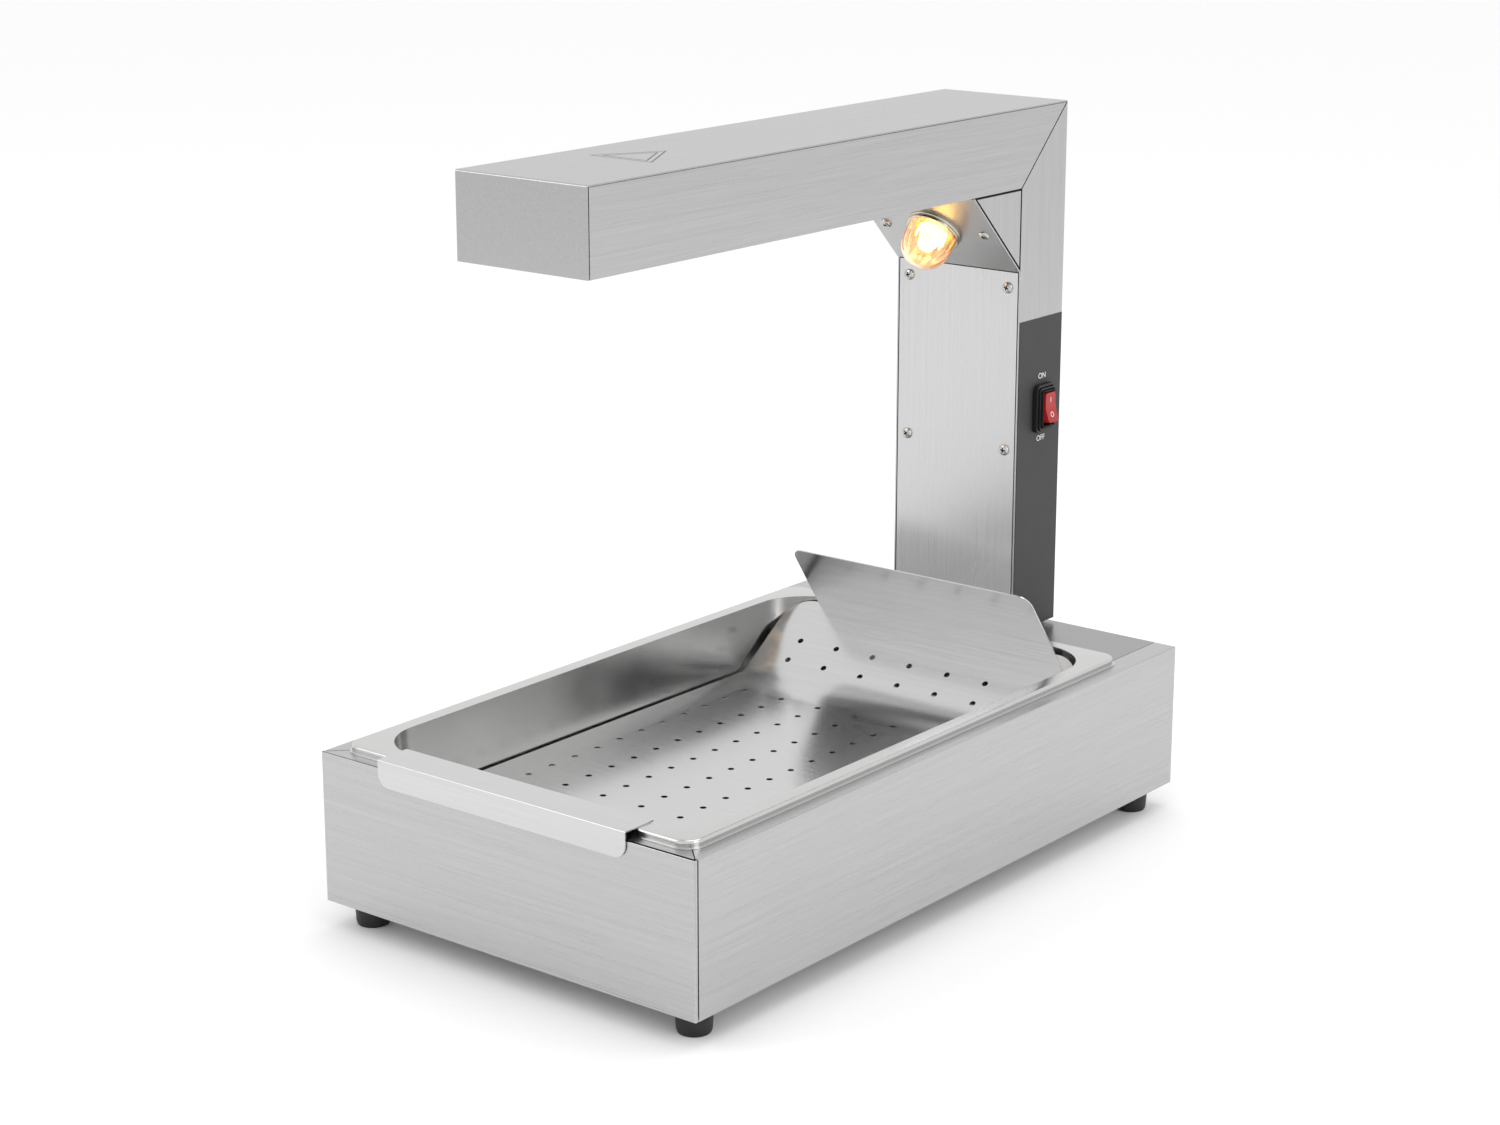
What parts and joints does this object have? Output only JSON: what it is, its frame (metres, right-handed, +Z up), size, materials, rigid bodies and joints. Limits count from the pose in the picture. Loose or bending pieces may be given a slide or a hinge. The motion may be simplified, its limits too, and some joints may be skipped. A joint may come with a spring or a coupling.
{
  "type": "heat lamp warmer",
  "caption": "Countertop food warmer: sheet-steel stand with a lift-out gastronorm pan and draining insert under a hollow column and arm holding a quartz heater and a lamp.",
  "frame": {"origin": "under the middle of the whole object, on the plane that the feet stand on", "axes": "+X to the right seen from the front, where the switch is; +Y from the front apron to the column at the back; +Z up"},
  "size_m": [0.35, 0.6226, 0.563],
  "materials": {
    "brushed_steel": "brushed stainless steel, long straight grain",
    "pan_steel": "bright polished stainless steel",
    "screw_steel": "bright nickel-plated steel",
    "foot_rubber": "black moulded rubber",
    "wire_sleeve": "glass-fibre sleeved wire",
    "lens_glass": "clear pressed glass",
    "bulb_glass": "clear blown glass",
    "cap_brass": "brass",
    "ring_chrome": "bright plated collar",
    "ceramic": "glazed porcelain",
    "quartz": "clear quartz",
    "heater_wire": "oxidised resistance wire",
    "reflector_aluminium": "polished aluminium",
    "dark_overlay": "dark grey printed film",
    "black_plastic": "black moulded plastic",
    "boot_rubber": "soft black rubber",
    "red_plastic": "translucent red plastic"
  },
  "bodies": {
    "stand": {"arm_channel": "brushed_steel", "arm_cover": "brushed_steel", "base_plate": "brushed_steel", "base_screws": "screw_steel", "bulb_cap": "cap_brass", "cable_gland": "black_plastic", "column_bolts": "screw_steel", "column_bracket": "brushed_steel", "column_front_plate": "brushed_steel", "column_nuts": "screw_steel", "column_plate_screws": "screw_steel", "column_shell": "brushed_steel", "column_spacer": "brushed_steel", "deck_stiffener": "brushed_steel", "earth_screw": "screw_steel", "foot_screws": "screw_steel", "front_heater_block": "ceramic", "front_left_foot": "foot_rubber", "front_panel": "brushed_steel", "front_right_foot": "foot_rubber", "gland_nut": "black_plastic", "heat_reflector": "reflector_aluminium", "heater_coils": "heater_wire", "heater_tubes": "quartz", "heater_wires": "wire_sleeve", "lamp_bulb": "bulb_glass", "lamp_holder": "ceramic", "lamp_plate": "brushed_steel", "lamp_plate_screws": "screw_steel", "lamp_wires": "wire_sleeve", "left_cheek": "brushed_steel", "left_corner_angle": "brushed_steel", "left_elbow_gusset": "brushed_steel", "left_plate_strip": "brushed_steel", "left_side_panel": "brushed_steel", "lens_ring": "ring_chrome", "rear_deck": "brushed_steel", "rear_heater_block": "ceramic", "rear_left_foot": "foot_rubber", "rear_panel": "brushed_steel", "rear_panel_screws": "screw_steel", "rear_right_foot": "foot_rubber", "right_cheek": "brushed_steel", "right_corner_angle": "brushed_steel", "right_elbow_gusset": "brushed_steel", "right_plate_strip": "brushed_steel", "right_side_panel": "brushed_steel", "side_overlay": "dark_overlay", "supply_wires": "wire_sleeve", "switch_boot": "boot_rubber", "switch_housing": "black_plastic", "switch_terminals": "cap_brass", "switch_wires": "wire_sleeve", "terminal_block": "black_plastic", "wire_guard": "screw_steel"},
    "pan": {"gn_pan": "pan_steel"},
    "insert": {"drain_insert": "pan_steel"},
    "lens": {"glass_lens": "lens_glass"},
    "rocker": {"switch_rocker": "red_plastic"}
  },
  "joints": [
    {"name": "switch_tilt", "type": "hinge", "parent": "stand", "child": "rocker", "pos_m": [0.061, 0.267, 0.3205], "axis": [0, 1, 0], "range_deg": [0, 18]},
    {"name": "pan_lift", "type": "slide", "parent": "stand", "child": "pan", "axis": [0, 0, 1], "range_m": [0, 0.12]},
    {"name": "insert_lift", "type": "slide", "parent": "pan", "child": "insert", "axis": [0, 0, 1], "range_m": [0, 0.085]},
    {"name": "lens_pull", "type": "slide", "parent": "stand", "child": "lens", "axis": [0, -0.7071, -0.7071], "range_m": [0, 0.045]}
  ]
}
